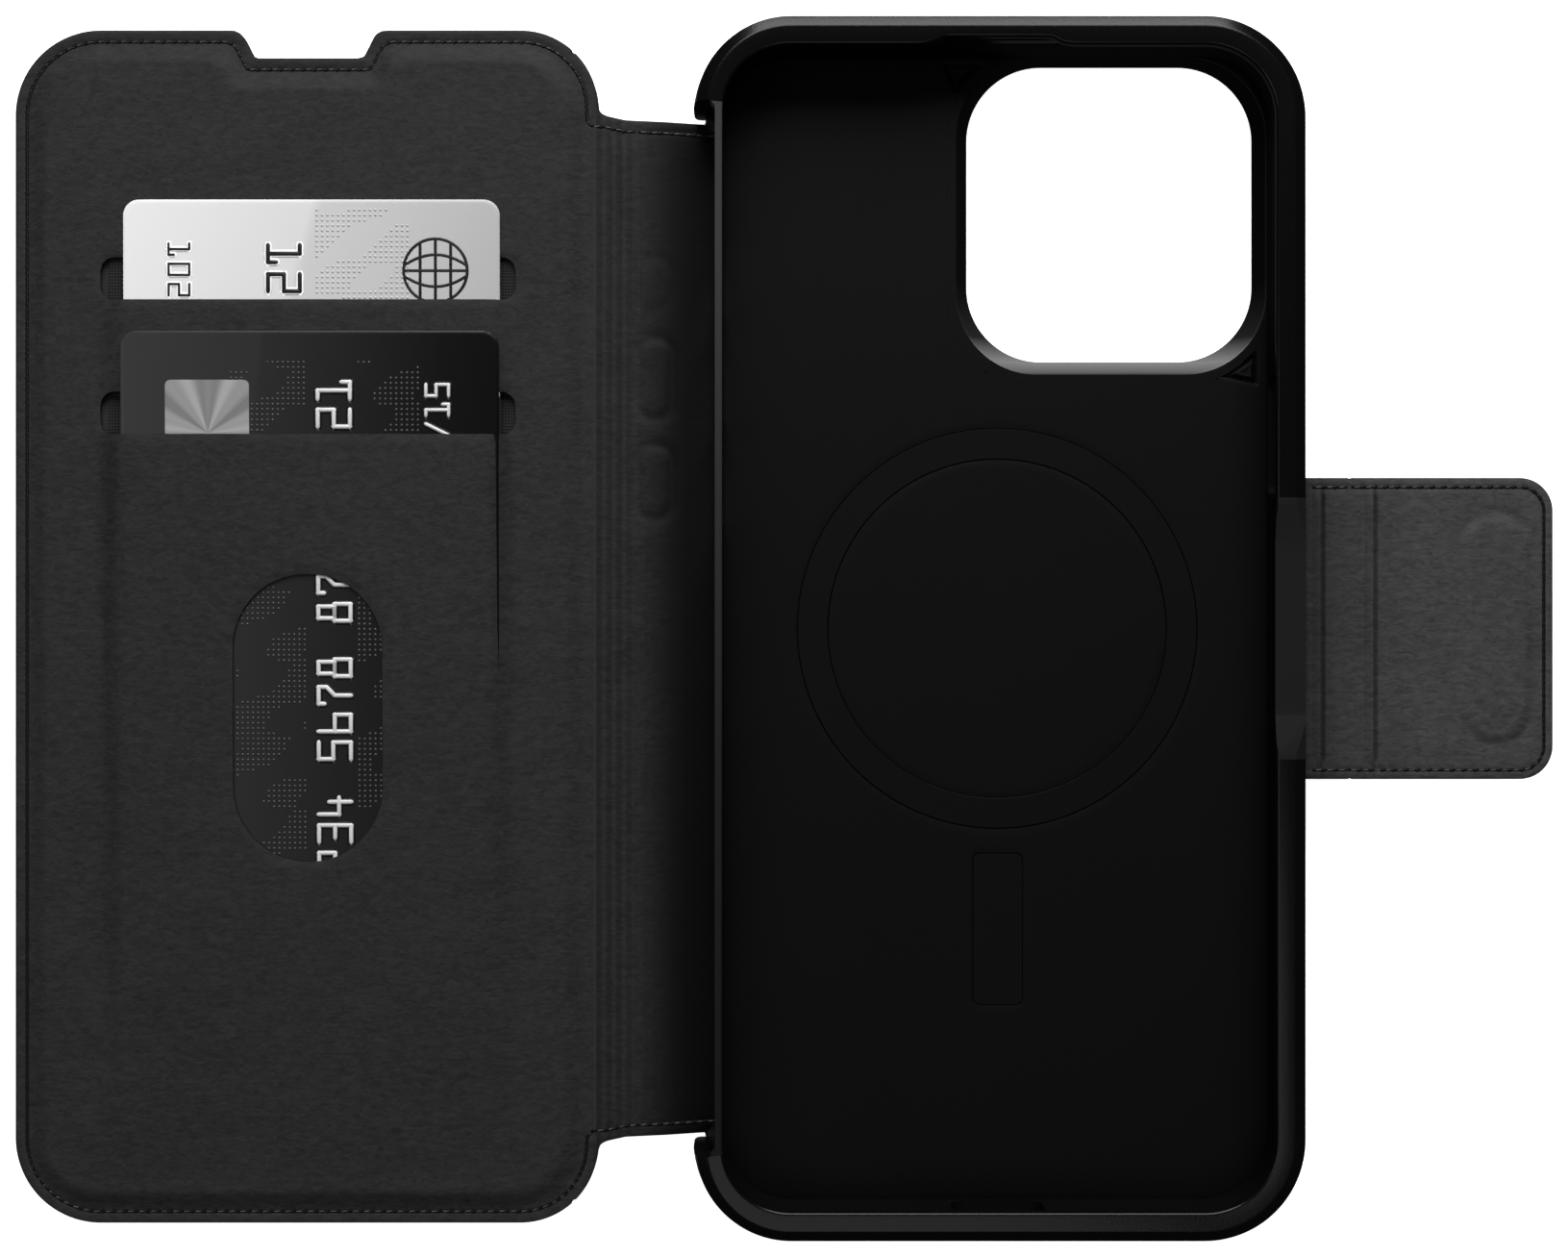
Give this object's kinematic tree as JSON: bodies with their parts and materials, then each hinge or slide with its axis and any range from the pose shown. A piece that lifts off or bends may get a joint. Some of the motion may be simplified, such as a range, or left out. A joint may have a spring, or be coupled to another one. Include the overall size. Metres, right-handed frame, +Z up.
{
  "type": "phone wallet case",
  "caption": "Folio case for a large phone: moulded tray, ribbed spine, wallet cover with two card slots and thumb window, and magnetic closing strap.",
  "frame": {"origin": "middle of the opened case's bounding box, on the surface it lies on", "axes": "+X from the wallet cover's free edge to the closing strap, +Y towards the tray's camera end, +Z up out of the inner faces"},
  "size_m": [0.2184, 0.172, 0.0129],
  "materials": {
    "outer_leather": "fine-grained black leather, low sheen",
    "inner_leather": "crinkled black leather, satin",
    "thread": "twisted thread",
    "woven_liner": "fine woven mesh",
    "bumper": "satin polymer",
    "shell": "soft matte polymer",
    "magnet": "nickel plated",
    "steel": "thin sheet",
    "board": "pressed fibre board",
    "card_light": "silver-white satin",
    "card_dark": "black gloss"
  },
  "bodies": {
    "case": {"hard_shell": "shell", "bumper_frame": "bumper", "camera_surround": "bumper", "back_leather": "outer_leather", "spine_anchor_strip": "inner_leather", "tab_anchor_outer": "outer_leather", "tab_anchor_inner": "inner_leather", "magnet_cover_ring": "shell", "ring_magnet_01": "magnet", "ring_magnet_02": "magnet", "ring_magnet_03": "magnet", "ring_magnet_04": "magnet", "ring_magnet_05": "magnet", "ring_magnet_06": "magnet", "ring_magnet_07": "magnet", "ring_magnet_08": "magnet", "ring_magnet_09": "magnet", "ring_magnet_10": "magnet", "ring_magnet_11": "magnet", "ring_magnet_12": "magnet", "ring_magnet_13": "magnet", "ring_magnet_14": "magnet", "ring_magnet_15": "magnet", "ring_magnet_16": "magnet", "orientation_magnet": "magnet", "orientation_magnet_cover": "shell"},
    "spine": {"spine_outer_leather": "outer_leather", "spine_inner_leather": "inner_leather", "button_pad_action": "inner_leather", "button_pad_volume_up": "inner_leather", "button_pad_volume_down": "inner_leather", "spine_thread_top": "thread", "spine_thread_bottom": "thread"},
    "cover": {"cover_outer_leather": "outer_leather", "cover_board": "board", "cover_inner_leather": "inner_leather", "pocket_liner_upper": "woven_liner", "pocket_liner_lower": "woven_liner", "catch_plate": "steel", "cover_thread": "thread"},
    "card_upper": {"card_upper": "card_light"},
    "card_lower": {"card_lower": "card_dark"},
    "tab_link": {"tab_link_outer_leather": "outer_leather", "tab_link_inner_leather": "inner_leather", "tab_link_thread_top": "thread", "tab_link_thread_bottom": "thread"},
    "tab_flap": {"tab_flap_outer_leather": "outer_leather", "tab_flap_inner_leather": "inner_leather", "tab_magnet": "magnet", "tab_thread": "thread"}
  },
  "joints": [
    {"name": "spine_fold", "type": "hinge", "parent": "case", "child": "spine", "pos_m": [-0.0095, 0, 0.00075], "axis": [0, 1, 0], "range_deg": [0, 90]},
    {"name": "cover_fold", "type": "hinge", "parent": "spine", "child": "cover", "pos_m": [-0.0245, 0, 0.00075], "axis": [0, 1, 0], "range_deg": [0, 90]},
    {"name": "card_upper_slide", "type": "slide", "parent": "cover", "child": "card_upper", "axis": [0, -1, -0.0084], "range_m": [-0.072, 0]},
    {"name": "card_lower_slide", "type": "slide", "parent": "cover", "child": "card_lower", "axis": [0, -0.9999, -0.0156], "range_m": [-0.072, 0]},
    {"name": "tab_link_fold", "type": "hinge", "parent": "case", "child": "tab_link", "pos_m": [0.0768, 0, 0.0104], "axis": [0, -1, 0], "range_deg": [0, 90]},
    {"name": "tab_flap_fold", "type": "hinge", "parent": "tab_link", "child": "tab_flap", "pos_m": [0.0841, 0, 0.0104], "axis": [0, -1, 0], "range_deg": [0, 90]}
  ]
}
